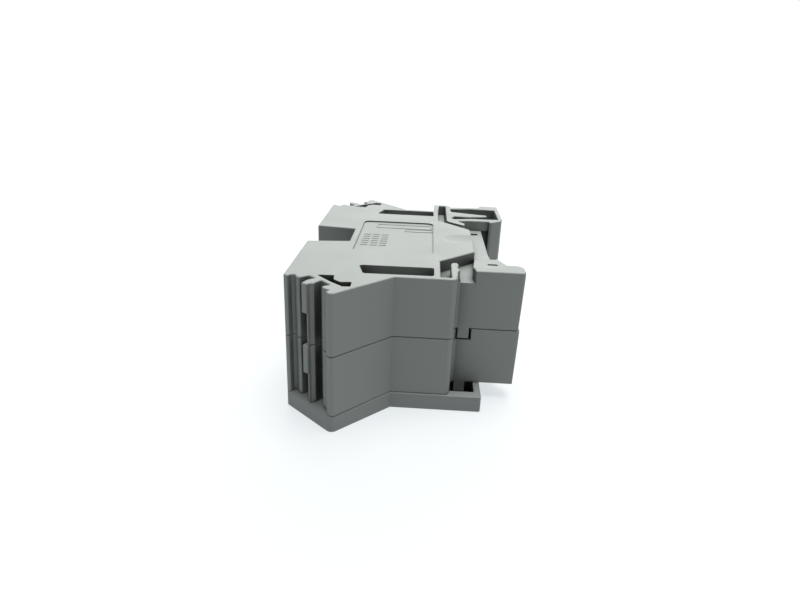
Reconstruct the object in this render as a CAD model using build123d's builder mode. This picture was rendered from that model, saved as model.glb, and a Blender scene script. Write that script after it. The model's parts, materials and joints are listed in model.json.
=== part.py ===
"""Two rail-mounted feed-through terminal blocks with an end plate, stacked flank on flank.

The stack direction is +Z and the end plate lies at the bottom. Every sketch is drawn on
level(height), where x runs back from the wire side to the rail side and y runs along the block.
Side is -1 for the half at -Y and +1 for the half at +Y.
"""

import os

from build123d import *

os.makedirs("parts", exist_ok=True)

# Driving dimensions, in millimetres
DEPTH = 60.0                # wire side to the back of the rail feet
PITCH = 16.0                # width that one block takes in a row
SEAM = 0.15                 # open seam between neighbours
PLATE_HEIGHT = 4.35         # end plate thickness
SKIN = 1.6                  # closed flank and outer walls
BLOCK_HEIGHT = PITCH - SEAM

# Body outline
WING_Y = 50.98              # sharp corner of the wings, before rounding
WING_RADIUS = 1.0
WALL_Y = 36.8               # straight side walls behind the wings
CORNER_Y = 38.8             # end of the front face
WING_X = 13.2
VALLEY_X = 26.8
BODY_BACK_X = 38.1
NOTCH_DEPTH = 12.0          # central cross-connection channel
NOTCH_MOUTH_Y = 8.8
NOTCH_FLOOR_Y = 7.1
GROOVE_RADIUS = 0.3         # small corners of the marker grooves
EDGE_CHAMFER = 0.2          # top edges of the mouldings

# Clamping unit
METAL_Z = 7.4               # middle of the metal parts above the block's open side
WIRE_Y = 19.9
WIRE_RADIUS = 5.0
FUNNEL_RADIUS = 6.0
FUNNEL_DEPTH = 5.0
TOOL_Y = 31.0
TOOL_SIZE = (4.6, 6.6)      # along y and z
CAVITY_FRONT_X = 13.8
CAVITY_STEP_X = 16.0
CAVITY_BACK_X = 36.6
CAVITY_Y = 36.2
SHALLOW_Y = 27.4            # beyond this the cavity runs under the side pocket
POCKET_SKIN = 1.4
BAR_THICKNESS = 2.0
BAR_WIDTH = 8.2
BAR_LEG_Y = 25.0
BAR_BUMP_Y = 12.0
BAR_FRONT_X = 14.2
BAR_BUMP_X = 18.0
BAR_BACK_X = 34.0
BAR_BEND = 1.5
BRIDGE_Y = 3.4              # cross-connector sockets in the channel floor
BRIDGE_SIZE = (2.6, 4.0)    # along y and z
SPRING_THICKNESS = 0.8
SPRING_WIDTH = 7.6
SPRING_HEEL_X = 19.0        # end of the leg on the bar
SPRING_BOW_X = 28.0         # where the bow begins
SPRING_KNEE = (21.0, 33.6)
SPRING_TIP = (16.4, 34.9)
SPRING_GAP = 0.1
CAGE_THICKNESS = 1.0
CAGE_X = 14.8
CAGE_WIDTH = 11.4
CAGE_Y = (22.4, 35.8)
WINDOW_WIDTH = 8.7
WINDOW_Y = (23.7, 34.6)
CAGE_RADII = (1.0, 0.5)     # outer corners, window corners

# Ribs that hold the current bar: centre x, y and size along x, y
CENTRE_RIB = ((28.0, 0), (17.4, 1.6))
LEG_RIB = ((36.0, 18.5), (1.6, 2.0))
BUMP_RIB = ((24.0, 7.0), (9.0, 1.4))

# Rail side
WEB_DROP = 3.3              # web face below the closed flank
WEB_THICKNESS = 1.7
SEAT_X = 52.6               # face that rests on the rail's flanges
HOOK_X = 55.2               # rail side of the sprung hook
FIXED_HOOK_X = 54.2         # rail side of the fixed hook
RAIL_FIXED_Y = -11.2        # end stop of the fixed hook
RAIL_SPRUNG_Y = 24.4        # end stop of the sprung hook
HOOK_GRIP = 1.35            # how far each hook reaches under the flange
FOOT_FRONT_Y = -29.3
LUG_X = (36.9, 38.2)
LUG_Y = 46.7
FLEX_X = 38.4               # root of the release foot's flexure
POCKET_DROP = 3.0           # side pocket below the closed flank
TONGUE_RADIUS = 1.2
WEB_RIB_X = 45.4            # stiffening rib along the open side of the web
WEB_RIB_THICKNESS = 1.2
GAP_FLOOR = ((39.3, 33.9), (2.6, 22.2))    # floor between the body and the release foot
LABEL_AT = (25.1, 0.8)
LABEL_SIZE = (22.4, 34.6)
LABEL_RADIUS = 2.0
LABEL_DROP = 0.4
FRAMES = {(27.1, 13.2): (17.6, 4.4), (31.8, 9.0): (8.6, 3.2)}     # centre: size
FRAME_RIM = 0.35
MARKS_AT = (19.0, -2.9)     # field of plain raised bars
MARK_SIZE = (1.9, 1.0)
MARK_PITCH = (2.7, 2.3)
MARK_COUNT = (3, 6)
RELIEF = 0.12               # height of frames and bars above the label recess
FINGER_AT = (46.0, 0.6)     # dished finger mark, open at the tongue's end
FINGER_RADII = (7.3, 4.6)
FINGER_DROP = 0.8
TAB_X = (43.65, 46.6)       # locating tab under the open side
TAB_DROP = 3.0
PEG_AT = (9.6, 11.1)
PEG_RADIUS = 1.4
PEG_LENGTH = 3.0
FIT_GAP = 0.15

FRONT_X = -DEPTH / 2
BLOCK_BASES = {"lower": PLATE_HEIGHT + SEAM, "upper": PLATE_HEIGHT + SEAM + PITCH}
SIDES = {"near": -1, "far": 1}

# Marker groove between the front face and the wing corner, drawn for the -Y half
MARKER_OUTLINE = [
    (1.0, -39.7), (1.8, -38.5), (2.6, -38.4), (3.5, -40.1), (4.2, -40.4), (6.2, -38.8),
    (8.1, -40.4), (6.3, -41.9), (5.9, -43.1), (5.4, -44.2), (6.7, -45.1), (7.4, -44.3),
    (8.4, -44.0), (9.1, -42.6), (9.8, -41.8), (12.3, -44.6), (10.5, -45.9), (11.2, -47.1),
    (12.8, -48.1), (11.9, -48.9),
]
MARKER_LIP = [(5.0, -42.3), (6.2, -42.3), (7.0, -44.4), (7.0, -45.6), (5.0, -45.6)]
MARKER_LIP_HEIGHT = 8.4
LATCH_SLOT = [
    (7.9, -38.0), (12.2, -37.8), (12.5, -40.7), (14.3, -42.4), (17.0, -42.0), (17.1, -45.2),
    (15.2, -45.4), (12.0, -42.5),
]
LATCH_RADIUS = 0.35
SIDE_POCKET = [(17.2, -28.7), (36.5, -28.5), (36.5, -34.9), (18.9, -35.2)]
SIDE_POCKET_RADIUS = 0.8
POCKET_CORE = [
    (15.0, -SHALLOW_Y), (15.0, -CAVITY_Y), (24.4, -CAVITY_Y), (25.6, -35.0), (CAVITY_BACK_X, -35.0),
    (CAVITY_BACK_X, -SHALLOW_Y),
]
WING_CORE = [(18.6, -37.8), (24.4, -37.8), (18.6, -42.8)]

# Rail side outlines, which differ between the fixed and the sprung end
HOOK_WALL = [
    (37.0, -WALL_Y), (42.1, -WALL_Y), (42.6, -30.2), (43.2, -29.0), (42.6, -27.2), (43.0, -24.4),
    (42.6, -23.1), (41.2, -23.3), (40.9, -24.5), (40.8, -35.3), (37.0, -35.3),
]
HOOK_CORNER = (42.1, -WALL_Y)
HOOK_CORNER_RADIUS = 1.4
HOOK_TIP_RADIUS = 0.5
WEB_OUTLINE = [
    (38.0, -36.0), (41.3, -36.0), (42.4, -30.2), (43.4, FOOT_FRONT_Y), (57.0, FOOT_FRONT_Y),
    (57.0, -23.4), (55.7, -16.5), (FIXED_HOOK_X + 0.4, RAIL_FIXED_Y + HOOK_GRIP),
    (FIXED_HOOK_X, RAIL_FIXED_Y + HOOK_GRIP), (FIXED_HOOK_X, RAIL_FIXED_Y), (SEAT_X, RAIL_FIXED_Y),
    (SEAT_X, 24.0), (48.8, 24.0), (44.4, 22.8), (38.0, 22.8),
]
WEB_CORE = [
    (39.8, -27.7), (55.6, -27.7), (55.6, -24.9), (51.0, -24.9), (51.0, 21.3), (39.8, 21.3),
]
TONGUE = [(38.0, -22.3), (48.0, -12.1), (48.0, 12.2), (38.0, 22.8)]
TONGUE_CORE = [(39.8, -18.4), (46.2, -11.6), (46.2, 11.7), (39.8, 18.6)]
FIXED_FOOT = [
    (47.3, FOOT_FRONT_Y), (DEPTH, FOOT_FRONT_Y), (DEPTH, -23.2), (55.6, -23.2), (54.4, -25.9),
    (46.7, -25.9),
]
FIXED_FOOT_ROUNDS = {(DEPTH, FOOT_FRONT_Y): 0.9, (DEPTH, -23.2): 2.2, (55.6, -23.2): 0.8}
FOOT_DRAFT = 0.5            # how far the foot's back leans in towards the open side
RAMP_Y = (-26.0, -4.0)      # ramp from the web up to the foot
RAMP_RISE = WEB_DROP - 2 * EDGE_CHAMFER
RAMP_OUTLINE = [
    (46.7, RAMP_Y[0]), (48.0, -12.1), (48.0, RAMP_Y[1]), (SEAT_X, RAMP_Y[1]), (SEAT_X, RAIL_FIXED_Y),
    *reversed(WEB_OUTLINE[5:10]), (WEB_OUTLINE[5][0], RAMP_Y[0]),
]
WEB_SLOTS = [(52.4, -19.5), (49.8, 19.1)]
WEB_SLOT_SIZE = (2.7, 2.0)
HOOK_SLOT = ((43.1, -23.95), (0.7, 9.9))   # frees the tip of the hook wall from the web
RELEASE_FOOT = [
    (40.9, 23.2), (44.2, 23.3), (48.8, RAIL_SPRUNG_Y), (HOOK_X, RAIL_SPRUNG_Y),
    (HOOK_X, RAIL_SPRUNG_Y - HOOK_GRIP), (HOOK_X + 0.8, RAIL_SPRUNG_Y - HOOK_GRIP), (59.3, 25.7),
    (DEPTH, 28.6), (DEPTH, 47.0), (59.5, 47.8), (53.9, 48.0), (52.6, 44.8), (43.0, 43.9),
    (42.2, 45.9), (41.6, LUG_Y), (FLEX_X, LUG_Y), (FLEX_X, 45.3), (40.9, 45.3),
]
RELEASE_SLOTS = [
    (42.7, 41.2), (49.9, 42.6), (58.6, 42.2), (58.6, 27.6), (49.0, 27.3), (43.4, 25.8),
    (42.6, 27.8), (43.8, 30.1), (49.1, 29.8), (54.7, 31.2), (55.2, 32.2), (54.9, 33.2),
    (49.4, 34.6), (43.2, 36.4), (42.6, 38.9),
]
RELEASE_SLOT_RADIUS = 0.3
FLANGE_RECESS = ((53.9, 24.7), (2.6, 2.2))     # room for the rail's flange below the foot's flank
RELEASE_FOOT_ROUNDS = {(59.3, 25.7): 0.8, (DEPTH, 28.6): 0.8, (DEPTH, 47.0): 0.6, (53.9, 48.0): 0.6}
RELEASE_FINGER = [(41.0, 23.4), (44.4, 23.4), (46.7, 19.8), (46.7, 18.2), (46.0, 17.5), (41.4, 21.8)]

PLATE_END = (50.6, WALL_Y)  # corner on the rail side
PLATE_LEDGE = 0.4           # how far the plate stands out past the side walls
PLATE_HALF = [
    (NOTCH_DEPTH, 0), (NOTCH_DEPTH, -NOTCH_FLOOR_Y), (0, -NOTCH_MOUTH_Y), (0, -CORNER_Y),
    (WING_X, -WING_Y), (VALLEY_X, -WALL_Y - PLATE_LEDGE), (PLATE_END[0], -WALL_Y - PLATE_LEDGE),
    (PLATE_END[0], 0),
]
PLATE_RADII = (1.6, 0.6)    # wing corners, rail side corners
PLATE_CHAMFER = 0.25
PLATE_POCKET_AT = (44.7, -30.5)
PLATE_POCKET_SIZE = (8.3, 8.2)
PLATE_POCKET_RADIUS = 0.5
PLATE_POCKET_DROP = 3.6


def level(height):
    """Horizontal sketch plane with x measured back from the wire side."""
    return Plane(origin=(FRONT_X, 0, height))


def front_plane(depth, height):
    """Upright sketch plane facing the wire side: local x along the block, local y up."""
    return Plane(origin=(FRONT_X + depth, 0, height), x_dir=(0, -1, 0), z_dir=(-1, 0, 0))


def back_plane(depth, height):
    """Upright sketch plane facing the rail side: local x along the block, local y up."""
    return Plane(origin=(FRONT_X + depth, 0, height), x_dir=(0, 1, 0), z_dir=(1, 0, 0))


def near_plane(point, height):
    """Upright sketch plane facing -Y through a point: local x towards the rail side, local y up."""
    return Plane(origin=(FRONT_X + point[0], point[1], height), x_dir=(1, 0, 0), z_dir=(0, -1, 0))


def outline(points, mode=Mode.ADD):
    """A closed face through the points, made in the current sketch."""
    return Polygon(*points, align=None, mode=mode)


def half_outline(points):
    """The -Y half of a symmetric face, mirrored to +Y."""
    mirror(outline(points), about=Plane.XZ)


def round_corner(sketch, corner, radius):
    """Rounds the sketch's corner nearest to the given point."""
    fillet(sketch.vertices().sort_by_distance((*corner, 0))[0], radius)


def round_both(sketch, corners, radius):
    """Rounds corners in both halves of a symmetric sketch."""
    for x, y in corners:
        for side in SIDES.values():
            round_corner(sketch, (x, side * y), radius)


def both_sides(point):
    """Locations at a point and its mirror image in the other half."""
    return Locations(*((point[0], side * point[1]) for side in SIDES.values()))


def make_housing(base):
    """Insulating housing: closed flank on top, open side down, fixed rail foot in one piece."""
    top = base + BLOCK_HEIGHT
    web_top = top - WEB_DROP
    metal_z = base + METAL_Z
    with BuildPart() as housing:
        # Body with the channel, the marker grooves and the wings
        with BuildSketch(level(base)) as body:
            half_outline([
                (NOTCH_DEPTH, 0), (NOTCH_DEPTH, -NOTCH_FLOOR_Y), (0, -NOTCH_MOUTH_Y),
                (0, -CORNER_Y), *MARKER_OUTLINE, (WING_X, -WING_Y), (VALLEY_X, -WALL_Y),
                (BODY_BACK_X, -WALL_Y), (BODY_BACK_X, 0),
            ])
            round_both(body, MARKER_OUTLINE, GROOVE_RADIUS)
            round_both(body, [(WING_X, -WING_Y)], WING_RADIUS)
        extrude(amount=BLOCK_HEIGHT)

        # Web with its ramp
        with BuildSketch(level(base)):
            outline(WEB_OUTLINE)
        extrude(amount=BLOCK_HEIGHT - WEB_DROP)
        with BuildSketch(level(web_top)):
            outline(RAMP_OUTLINE)
        extrude(amount=RAMP_RISE)
        with BuildSketch(back_plane(RAMP_OUTLINE[0][0], web_top)):
            outline([(RAMP_Y[0], RAMP_RISE), (RAMP_Y[1], 0), (RAMP_Y[1], RAMP_RISE)])
        extrude(amount=DEPTH - RAMP_OUTLINE[0][0], mode=Mode.SUBTRACT)
        with BuildSketch(level(web_top - WEB_DROP)):
            with Locations(HOOK_SLOT[0]):
                Rectangle(*HOOK_SLOT[1])
        extrude(amount=WEB_DROP, mode=Mode.SUBTRACT)

        # Hook wall, lug wall and fixed foot at full width
        with BuildSketch(level(base)) as hook:
            outline(HOOK_WALL)
            round_corner(hook, HOOK_CORNER, HOOK_CORNER_RADIUS)
            for corner in HOOK_WALL[2:9]:
                round_corner(hook, corner, HOOK_TIP_RADIUS)
            with Locations(((LUG_X[0] + LUG_X[1]) / 2, (WALL_Y - SKIN + LUG_Y) / 2)):
                Rectangle(LUG_X[1] - LUG_X[0], LUG_Y - WALL_Y + SKIN)
        extrude(amount=BLOCK_HEIGHT)
        with BuildSketch(level(base)) as foot:
            outline(FIXED_FOOT)
            for corner, radius in FIXED_FOOT_ROUNDS.items():
                round_corner(foot, corner, radius)
        extrude(amount=BLOCK_HEIGHT)

        # Tongue, the floor of the tool gap and the soft edges of the closed flank
        with BuildSketch(level(web_top)) as tongue:
            outline(TONGUE)
            fillet(tongue.vertices().group_by(Axis.X)[-1], TONGUE_RADIUS)
        extrude(amount=WEB_DROP)
        with BuildSketch(level(web_top - WEB_THICKNESS)):
            with Locations(GAP_FLOOR[0]):
                Rectangle(*GAP_FLOOR[1])
        extrude(amount=WEB_THICKNESS)
        chamfer(housing.faces().filter_by_position(Axis.Z, top, top).edges(), EDGE_CHAMFER)
        with BuildSketch(near_plane((DEPTH, FOOT_FRONT_Y), base)):
            outline([(-FOOT_DRAFT, 0), (0, BLOCK_HEIGHT), (FOOT_DRAFT, 0)])
        extrude(amount=FOOT_FRONT_Y, mode=Mode.SUBTRACT)

        # Side pockets and label field with its relief in the closed flank
        with BuildSketch(level(top - POCKET_DROP)) as pockets:
            half_outline(SIDE_POCKET)
            fillet(pockets.vertices(), SIDE_POCKET_RADIUS)
        extrude(amount=POCKET_DROP, mode=Mode.SUBTRACT)
        with BuildSketch(level(top - LABEL_DROP)):
            with Locations(LABEL_AT):
                RectangleRounded(*LABEL_SIZE, LABEL_RADIUS)
        extrude(amount=LABEL_DROP, mode=Mode.SUBTRACT)
        with BuildSketch(level(top - LABEL_DROP)):
            for centre, size in FRAMES.items():
                with Locations(centre):
                    RectangleRounded(*size, 2 * FRAME_RIM)
                    RectangleRounded(*(side - 2 * FRAME_RIM for side in size), FRAME_RIM, mode=Mode.SUBTRACT)
            with Locations(MARKS_AT):
                with GridLocations(*MARK_PITCH, *MARK_COUNT):
                    Rectangle(*MARK_SIZE)
        extrude(amount=RELIEF)

        # Finger mark: an arc turned about a line above the flank leaves an elliptical dish
        length, width = FINGER_RADII
        turn_height = width ** 2 / (2 * FINGER_DROP)
        with BuildSketch(near_plane(FINGER_AT, top)):
            with BuildLine():
                ThreePointArc((-length, 0), (0, -FINGER_DROP), (length, 0))
                Polyline((length, 0), (length, turn_height), (-length, turn_height), (-length, 0))
            make_face()
        turn_line = Axis((FRONT_X, FINGER_AT[1], top + turn_height), (1, 0, 0))
        revolve(axis=turn_line, mode=Mode.SUBTRACT)

        # Slots through the web, latch slots right through, and the marker lips cut back at the bottom
        with BuildSketch(level(top - 2 * WEB_DROP)):
            with Locations(*WEB_SLOTS):
                Rectangle(*WEB_SLOT_SIZE)
        extrude(amount=2 * WEB_DROP, mode=Mode.SUBTRACT)
        with BuildSketch(level(base)) as slots:
            half_outline(LATCH_SLOT)
            fillet(slots.vertices(), LATCH_RADIUS)
        extrude(amount=BLOCK_HEIGHT, mode=Mode.SUBTRACT)
        with BuildSketch(level(base)):
            half_outline(MARKER_LIP)
        extrude(amount=MARKER_LIP_HEIGHT, mode=Mode.SUBTRACT)

        # Clamp cavity, open at the bottom, shallower under the side pockets
        with BuildSketch(level(base)):
            half_outline([
                (CAVITY_FRONT_X, 0), (CAVITY_FRONT_X, -CAVITY_Y), (CAVITY_STEP_X, -CAVITY_Y),
                (CAVITY_STEP_X, -SHALLOW_Y), (CAVITY_BACK_X, -SHALLOW_Y), (CAVITY_BACK_X, 0),
            ])
        extrude(amount=BLOCK_HEIGHT - SKIN, mode=Mode.SUBTRACT)
        with BuildSketch(level(base)):
            half_outline(POCKET_CORE)
            half_outline(WING_CORE)
        extrude(amount=BLOCK_HEIGHT - POCKET_DROP - POCKET_SKIN, mode=Mode.SUBTRACT)

        # Coring under the web, the foot and the tongue, with a stiffening rib
        with BuildSketch(level(base)):
            outline(WEB_CORE)
        extrude(amount=BLOCK_HEIGHT - WEB_DROP - WEB_THICKNESS, mode=Mode.SUBTRACT)
        with BuildSketch(level(base)):
            outline(TONGUE_CORE)
        extrude(amount=BLOCK_HEIGHT - SKIN, mode=Mode.SUBTRACT)
        rib_ends = (WEB_CORE[0][1], WEB_CORE[-1][1])
        with BuildSketch(level(base)):
            with Locations((WEB_RIB_X, sum(rib_ends) / 2)):
                Rectangle(WEB_RIB_THICKNESS, rib_ends[1] - rib_ends[0])
        extrude(amount=BLOCK_HEIGHT - WEB_DROP - WEB_THICKNESS)

        # Ribs that hold the current bar
        with BuildSketch(level(base)):
            with Locations(CENTRE_RIB[0]):
                Rectangle(*CENTRE_RIB[1])
            for centre, size in (LEG_RIB, BUMP_RIB):
                with both_sides(centre):
                    Rectangle(*size)
        extrude(amount=BLOCK_HEIGHT - SKIN)

        # Wire funnels, tool holes and cross-connector sockets from the wire side
        for side in SIDES.values():
            with BuildSketch(front_plane(CAVITY_FRONT_X, metal_z)):
                with Locations((-side * WIRE_Y, 0)):
                    Circle(WIRE_RADIUS)
                with Locations((-side * TOOL_Y, 0)):
                    Rectangle(*TOOL_SIZE)
            extrude(amount=CAVITY_FRONT_X, mode=Mode.SUBTRACT)
            with BuildSketch(front_plane(0, metal_z)):
                with Locations((-side * WIRE_Y, 0)):
                    Circle(FUNNEL_RADIUS)
            with BuildSketch(front_plane(FUNNEL_DEPTH, metal_z)):
                with Locations((-side * WIRE_Y, 0)):
                    Circle(WIRE_RADIUS)
            loft(mode=Mode.SUBTRACT)
            with BuildSketch(front_plane(CAVITY_FRONT_X, metal_z)):
                with Locations((-side * BRIDGE_Y, 0)):
                    Rectangle(*BRIDGE_SIZE)
            extrude(amount=CAVITY_FRONT_X - NOTCH_DEPTH, mode=Mode.SUBTRACT)

        # Locating tab below the open side, and holes for the end plate's pegs
        with BuildSketch(level(base - TAB_DROP)):
            with Locations(((TAB_X[0] + TAB_X[1]) / 2, FOOT_FRONT_Y + SKIN / 2)):
                Rectangle(TAB_X[1] - TAB_X[0], SKIN)
        extrude(amount=TAB_DROP + WEB_DROP)
        with BuildSketch(level(base)):
            with both_sides(PEG_AT):
                Circle(PEG_RADIUS + FIT_GAP)
        extrude(amount=PEG_LENGTH + 2 * FIT_GAP, mode=Mode.SUBTRACT)
    return housing.part


def make_release_foot(base):
    """Sprung rail foot with its hook, the tool gap beside the lug and the guide finger."""
    with BuildPart() as foot:
        with BuildSketch(level(base)) as shape:
            outline(RELEASE_FOOT)
            for corner, radius in RELEASE_FOOT_ROUNDS.items():
                round_corner(shape, corner, radius)
            outline(RELEASE_SLOTS, mode=Mode.SUBTRACT)
            for corner in RELEASE_SLOTS:
                round_corner(shape, corner, RELEASE_SLOT_RADIUS)
        extrude(amount=BLOCK_HEIGHT)
        chamfer(foot.faces().sort_by(Axis.Z)[-1].edges(), EDGE_CHAMFER)
        with BuildSketch(level(base)):
            with Locations(FLANGE_RECESS[0]):
                Rectangle(*FLANGE_RECESS[1])
        extrude(amount=BLOCK_HEIGHT - WEB_DROP, mode=Mode.SUBTRACT)
        with BuildSketch(level(base + BLOCK_HEIGHT - WEB_DROP + 2 * FIT_GAP)):
            outline(RELEASE_FINGER)
        extrude(amount=WEB_DROP - 2 * FIT_GAP)
    return foot.part


def make_current_bar(base):
    """Bent copper bar: one leg beside each wire and a forward bump for cross-connectors."""
    with BuildPart() as bar:
        with BuildSketch(level(base + METAL_Z - BAR_WIDTH / 2)):
            with BuildLine():
                FilletPolyline(
                    (BAR_FRONT_X, -BAR_LEG_Y), (BAR_BACK_X, -BAR_LEG_Y), (BAR_BACK_X, -BAR_BUMP_Y),
                    (BAR_BUMP_X, -BAR_BUMP_Y), (BAR_BUMP_X, BAR_BUMP_Y), (BAR_BACK_X, BAR_BUMP_Y),
                    (BAR_BACK_X, BAR_LEG_Y), (BAR_FRONT_X, BAR_LEG_Y), radius=BAR_BEND,
                )
            trace(line_width=BAR_THICKNESS)
        extrude(amount=BAR_WIDTH)
        for side in SIDES.values():
            with BuildSketch(front_plane(BAR_BUMP_X + BAR_THICKNESS, base + METAL_Z)):
                with Locations((-side * BRIDGE_Y, 0)):
                    Rectangle(*BRIDGE_SIZE)
            extrude(amount=2 * BAR_THICKNESS, mode=Mode.SUBTRACT)
    return bar.part


def make_clamp_spring(base, side):
    """Bowed spring: the fixed leg lies on the bar and the free leg ends beside the cage."""
    fixed_y = side * (BAR_LEG_Y + BAR_THICKNESS / 2 + SPRING_THICKNESS / 2 + SPRING_GAP)
    free_y = side * SPRING_KNEE[1]
    bow_radius = abs(free_y - fixed_y) / 2
    with BuildPart() as spring:
        with BuildSketch(level(base + METAL_Z - SPRING_WIDTH / 2)):
            with BuildLine():
                fixed_leg = Line((SPRING_HEEL_X, fixed_y), (SPRING_BOW_X, fixed_y))
                bow = ThreePointArc(
                    fixed_leg @ 1, (SPRING_BOW_X + bow_radius, (fixed_y + free_y) / 2),
                    (SPRING_BOW_X, free_y),
                )
                free_leg = Line(bow @ 1, (SPRING_KNEE[0], free_y))
                Line(free_leg @ 1, (SPRING_TIP[0], side * SPRING_TIP[1]))
            trace(line_width=SPRING_THICKNESS)
        extrude(amount=SPRING_WIDTH)
    return spring.part


def make_clamp_cage(base, side):
    """Window end of the clamp, which draws the wire against the bar's leg."""
    middle_y = side * sum(CAGE_Y) / 2
    window_y = side * sum(WINDOW_Y) / 2
    with BuildPart() as cage:
        with BuildSketch(front_plane(CAGE_X + CAGE_THICKNESS, base + METAL_Z)):
            with Locations((-middle_y, 0)):
                RectangleRounded(CAGE_Y[1] - CAGE_Y[0], CAGE_WIDTH, CAGE_RADII[0])
            with Locations((-window_y, 0)):
                RectangleRounded(WINDOW_Y[1] - WINDOW_Y[0], WINDOW_WIDTH, CAGE_RADII[1], mode=Mode.SUBTRACT)
        extrude(amount=CAGE_THICKNESS)
    return cage.part


def make_end_plate():
    """Plate that closes the lowest block's open side, with a pocket for the locating tab."""
    with BuildPart() as plate:
        with BuildSketch(level(0)) as face:
            half_outline(PLATE_HALF)
            round_both(face, [(WING_X, WING_Y)], PLATE_RADII[0])
            round_both(face, [PLATE_END], PLATE_RADII[1])
        extrude(amount=PLATE_HEIGHT)
        chamfer(plate.faces().sort_by(Axis.Z)[-1].edges(), PLATE_CHAMFER)
        with BuildSketch(level(PLATE_HEIGHT - PLATE_POCKET_DROP)):
            with Locations(PLATE_POCKET_AT):
                RectangleRounded(*PLATE_POCKET_SIZE, PLATE_POCKET_RADIUS)
        extrude(amount=PLATE_POCKET_DROP, mode=Mode.SUBTRACT)
        with BuildSketch(level(PLATE_HEIGHT)):
            with both_sides(PEG_AT):
                Circle(PEG_RADIUS)
        extrude(amount=PEG_LENGTH + SEAM)
    return plate.part


def save(part, name):
    """Labels a finished piece and writes it as its own file."""
    part.label = name
    export_step(part, f"parts/{name}.step")


save(make_end_plate(), "end_plate")
for block, block_base in BLOCK_BASES.items():
    save(make_housing(block_base), f"{block}_housing")
    save(make_release_foot(block_base), f"{block}_release_foot")
    save(make_current_bar(block_base), f"{block}_current_bar")
    for side_name, side_sign in SIDES.items():
        save(make_clamp_spring(block_base, side_sign), f"{block}_{side_name}_clamp_spring")
        save(make_clamp_cage(block_base, side_sign), f"{block}_{side_name}_clamp_cage")
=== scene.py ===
"""Looks for the stacked terminal blocks: moulded polyamide, tinned copper and spring steel."""

import json
from math import radians

import bpy
from mathutils import Matrix, Vector

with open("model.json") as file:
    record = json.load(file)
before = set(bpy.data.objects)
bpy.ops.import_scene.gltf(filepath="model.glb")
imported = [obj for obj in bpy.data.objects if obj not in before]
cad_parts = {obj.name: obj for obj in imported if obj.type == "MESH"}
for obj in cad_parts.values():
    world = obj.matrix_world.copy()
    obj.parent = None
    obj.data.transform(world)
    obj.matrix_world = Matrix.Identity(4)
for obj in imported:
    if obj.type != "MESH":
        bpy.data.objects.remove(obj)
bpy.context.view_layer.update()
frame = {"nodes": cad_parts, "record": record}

MM = 0.001
WHITE = (1, 1, 1, 1)
PAINTED_SHADE_BLACK = (0, 0, 0, 1)

# Camera: where it stands and how it is turned, in degrees
CAMERA_AT = Vector((3.30, -173.48, 84.07)) * MM
CAMERA_AZIMUTH = -2.06
CAMERA_ELEVATION = -21.44
CAMERA_ROLL = 2.23
LENS_MM = 26.77
SENSOR_MM = 36.0
CLIP_START = 10 * MM

# Mouldings: linear colour of each polyamide
MOULDINGS = {
    "housing_polyamide": (0.199, 0.217, 0.205),
    "plate_polyamide": (0.193, 0.211, 0.205),
}
POLYAMIDE_ROUGHNESS = (0.52, 0.64)
POLYAMIDE_SPECULAR = 0.42
POLYAMIDE_EDGE = 0.25 * MM
CLOUDS_PER_METRE = 90.0
CLOUD_TINTS = (0.98, 1.02)
SPECKS_PER_METRE = 2600.0
SPECK_SHARE = 0.10
SPECK_TINT = 0.72
GRAINS_PER_METRE = 1500.0
GRAIN_DEPTH = 0.03 * MM
GRAIN_STRENGTH = 0.25

# Painted shade, darker in grooves and corners than on open faces: how far off a wall counts, the share
# of open surroundings that counts as closed and as open, and the tone of a closed spot
PAINTED_SHADE_REACH = 6 * MM
PAINTED_SHADE_RANGE = (0.05, 0.95)
PAINTED_SHADE_TONE = 0.05
PAINTED_SHADE_SAMPLES = 8

# Strip metals: linear colour, roughness, and how much finer streaks are across than along the strip
METALS = {
    "tinned_copper": ((0.74, 0.71, 0.66), 0.34, 12),
    "spring_steel": ((0.56, 0.55, 0.53), 0.28, 20),
}
METAL_EDGE = 0.12 * MM
METAL_SHEEN_SPREAD = (-0.08, 0.10)
PATCHES_PER_METRE = 160.0
PATCH_TINTS = (0.90, 1.04)
STREAKS_PER_METRE = 900.0
STREAK_DEPTH = 0.01 * MM
STREAK_STRENGTH = 0.3

EDGE_SAMPLES = 6
NOISE_RANGE = (0.3, 0.7)              # where nearly all of a noise texture's values lie

# Table: white, and lit from below as well, so shadows stay pale
FLOOR_SIZE = 6.0
FLOOR_Z = -0.05 * MM
FLOOR_WHITE = (0.17, 0.17, 0.17)
FLOOR_GLOW = (0.64, 0.675, 0.69)
FLOOR_ROUGHNESS = 0.7
FLOOR_SPECULAR = 0.2

# Lights: name, direction it comes from, strength and angular width in degrees
LIGHTS = [
    ("overhead", Vector((0.1, 0.05, 1.0)), 4.9, 46.0),
    ("backdrop", Vector((0.1, 1.0, 0.7)), 2.2, 60.0),
]
AMBIENT = 0.12


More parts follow.
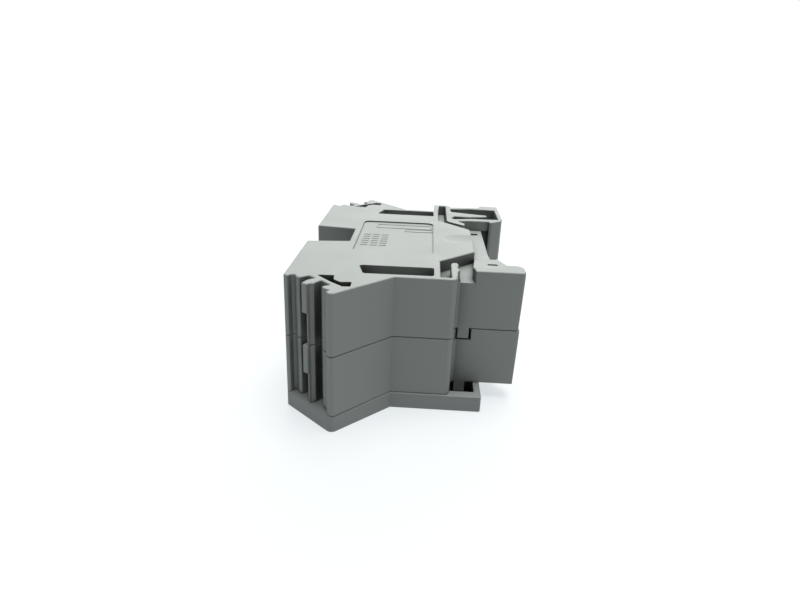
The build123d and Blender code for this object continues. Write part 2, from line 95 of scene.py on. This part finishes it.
class Nodes:
    """Short helper that adds and links shader nodes in one material."""

    def __init__(self, name):
        self.material = bpy.data.materials.new(name)
        self.material.use_nodes = True
        self.tree = self.material.node_tree
        self.shader = self.tree.nodes["Principled BSDF"]

    def add(self, kind, inputs, **settings):
        """New node with its settings made and its inputs linked or set."""
        node = self.tree.nodes.new(kind)
        for key, value in settings.items():
            setattr(node, key, value)
        for key, value in inputs.items():
            if isinstance(value, bpy.types.NodeSocket):
                self.tree.links.new(value, node.inputs[key])
            else:
                node.inputs[key].default_value = value
        return node

    def feed(self, socket, value):
        """Links a node's output to the shader."""
        self.tree.links.new(value, self.shader.inputs[socket])

    def fix(self, socket, value):
        """Sets a value that is the same all over the surface."""
        self.shader.inputs[socket].default_value = value

    def object_points(self, scale=(1, 1, 1)):
        """Object coordinates in metres, stretched by scale."""
        place = self.add("ShaderNodeTexCoord", {}).outputs["Object"]
        return self.add("ShaderNodeMapping", {"Vector": place, "Scale": scale}).outputs["Vector"]

    def noise(self, points, per_metre, detail=2.0, roughness=0.5):
        inputs = {"Vector": points, "Scale": per_metre, "Detail": detail, "Roughness": roughness}
        return self.add("ShaderNodeTexNoise", inputs).outputs["Fac"]

    def spread(self, value, low, high):
        """Maps a noise value onto low..high."""
        inputs = {
            "Value": value, "From Min": NOISE_RANGE[0], "From Max": NOISE_RANGE[1],
            "To Min": low, "To Max": high,
        }
        return self.add("ShaderNodeMapRange", inputs).outputs["Result"]

    def blend(self, factor, first, second):
        """Colour that runs from first to second as factor runs from 0 to 1."""
        inputs = {"Factor": factor, "A": first, "B": second}
        return self.add("ShaderNodeMix", inputs, data_type="RGBA").outputs["Result"]

    def painted_recess_shade(self):
        """Painted shade: 1 on open faces, falling to the painted shade tone deep in grooves and
        corners.
        """
        occlusion = self.add(
            "ShaderNodeAmbientOcclusion", {"Distance": PAINTED_SHADE_REACH},
            samples=PAINTED_SHADE_SAMPLES, only_local=True,
        )
        inputs = {
            "Value": occlusion.outputs["AO"], "From Min": PAINTED_SHADE_RANGE[0], "From Max": PAINTED_SHADE_RANGE[1],
            "To Min": PAINTED_SHADE_TONE,
        }
        return self.add("ShaderNodeMapRange", inputs, interpolation_type="SMOOTHSTEP").outputs["Result"]

    def relief(self, height, strength, depth, edge):
        """Fine relief from a noise value, on top of slightly softened edges."""
        soft_edge = self.add("ShaderNodeBevel", {"Radius": edge}, samples=EDGE_SAMPLES)
        inputs = {
            "Height": height, "Strength": strength, "Distance": depth,
            "Normal": soft_edge.outputs["Normal"],
        }
        self.feed("Normal", self.add("ShaderNodeBump", inputs).outputs["Normal"])


def tinted(colour, factor):
    return (*(channel * factor for channel in colour), 1.0)


def moulded_polyamide(name, colour):
    """Glass-filled polyamide: matte, with a fine eroded grain, faint clouding, soft edges and painted
    shade in grooves and corners.
    """
    n = Nodes(name)
    points = n.object_points()
    cloud = n.noise(points, CLOUDS_PER_METRE, detail=3.0)
    speck = n.noise(points, SPECKS_PER_METRE)
    grain = n.noise(points, GRAINS_PER_METRE, detail=3.0, roughness=0.6)
    mottled = n.blend(n.spread(cloud, 0.0, 1.0), *(tinted(colour, tint) for tint in CLOUD_TINTS))
    specked = n.blend(n.spread(speck, 0.0, SPECK_SHARE), mottled, tinted(colour, SPECK_TINT))
    # Painted shade: the colour is darkened towards black in grooves and corners.
    n.feed("Base Color", n.blend(n.painted_recess_shade(), PAINTED_SHADE_BLACK, specked))
    n.feed("Roughness", n.spread(cloud, *POLYAMIDE_ROUGHNESS))
    n.fix("Specular IOR Level", POLYAMIDE_SPECULAR)
    n.relief(grain, GRAIN_STRENGTH, GRAIN_DEPTH, POLYAMIDE_EDGE)
    return n.material


def rolled_metal(name, colour, roughness, streak_fineness):
    """Strip metal with fine streaks and a slightly uneven sheen."""
    n = Nodes(name)
    streak_points = n.object_points((1, 1, streak_fineness))
    streaks = n.noise(streak_points, STREAKS_PER_METRE, detail=4.0, roughness=0.65)
    patches = n.noise(n.object_points(), PATCHES_PER_METRE)
    patched = n.blend(n.spread(patches, 0.0, 1.0), *(tinted(colour, tint) for tint in PATCH_TINTS))
    n.feed("Base Color", patched)
    n.feed("Roughness", n.spread(streaks, *(roughness + offset for offset in METAL_SHEEN_SPREAD)))
    n.fix("Metallic", 1.0)
    n.relief(streaks, STREAK_STRENGTH, STREAK_DEPTH, METAL_EDGE)
    return n.material


def dress_frame():
    """Gives every CAD node the material of its slot."""
    finishes = {name: moulded_polyamide(name, colour) for name, colour in MOULDINGS.items()}
    finishes |= {name: rolled_metal(name, *look) for name, look in METALS.items()}
    for part in frame["record"]["subparts"]:
        node = frame["nodes"][part["node"]]
        node.data.materials.clear()
        node.data.materials.append(finishes[part["material_slot"]])


def make_floor():
    """Plain white table that runs out of sight."""
    bpy.ops.mesh.primitive_plane_add(size=FLOOR_SIZE, location=(0, 0, FLOOR_Z))
    floor = bpy.context.object
    floor.name = "studio_floor"
    n = Nodes("studio_floor")
    n.fix("Base Color", (*FLOOR_WHITE, 1.0))
    n.fix("Roughness", FLOOR_ROUGHNESS)
    n.fix("Specular IOR Level", FLOOR_SPECULAR)
    n.fix("Emission Color", (*FLOOR_GLOW, 1.0))
    n.fix("Emission Strength", 1.0)
    floor.data.materials.append(n.material)


def make_lights():
    """Broad soft lights and a dim surround that the camera sees as white."""
    for name, comes_from, strength, width in LIGHTS:
        light = bpy.data.lights.new(name, "SUN")
        light.energy = strength
        light.angle = radians(width)
        lamp = bpy.data.objects.new(name, light)
        lamp.rotation_euler = (-comes_from).to_track_quat("-Z", "Y").to_euler()
        bpy.context.scene.collection.objects.link(lamp)
    world = bpy.data.worlds.new("studio")
    world.use_nodes = True
    tree = world.node_tree
    lit = tree.nodes["Background"]
    seen = tree.nodes.new("ShaderNodeBackground")
    for background, strength in ((lit, AMBIENT), (seen, 1.0)):
        background.inputs["Color"].default_value = WHITE
        background.inputs["Strength"].default_value = strength
    path = tree.nodes.new("ShaderNodeLightPath")
    mix = tree.nodes.new("ShaderNodeMixShader")
    tree.links.new(path.outputs["Is Camera Ray"], mix.inputs["Fac"])
    tree.links.new(lit.outputs["Background"], mix.inputs[1])
    tree.links.new(seen.outputs["Background"], mix.inputs[2])
    tree.links.new(mix.outputs["Shader"], tree.nodes["World Output"].inputs["Surface"])
    bpy.context.scene.world = world


def make_camera():
    """Camera at the reference view."""
    data = bpy.data.cameras.new("view")
    data.lens = LENS_MM
    data.sensor_width = SENSOR_MM
    data.clip_start = CLIP_START
    camera = bpy.data.objects.new("view", data)
    turn = (
        Matrix.Rotation(radians(CAMERA_AZIMUTH), 4, "Z").inverted()
        @ Matrix.Rotation(radians(90 + CAMERA_ELEVATION), 4, "X")
        @ Matrix.Rotation(radians(CAMERA_ROLL), 4, "Z")
    )
    camera.matrix_world = Matrix.Translation(CAMERA_AT) @ turn
    bpy.context.scene.collection.objects.link(camera)
    bpy.context.scene.camera = camera


make_camera()
dress_frame()
make_floor()
make_lights()
bpy.context.scene.view_settings.view_transform = "Standard"
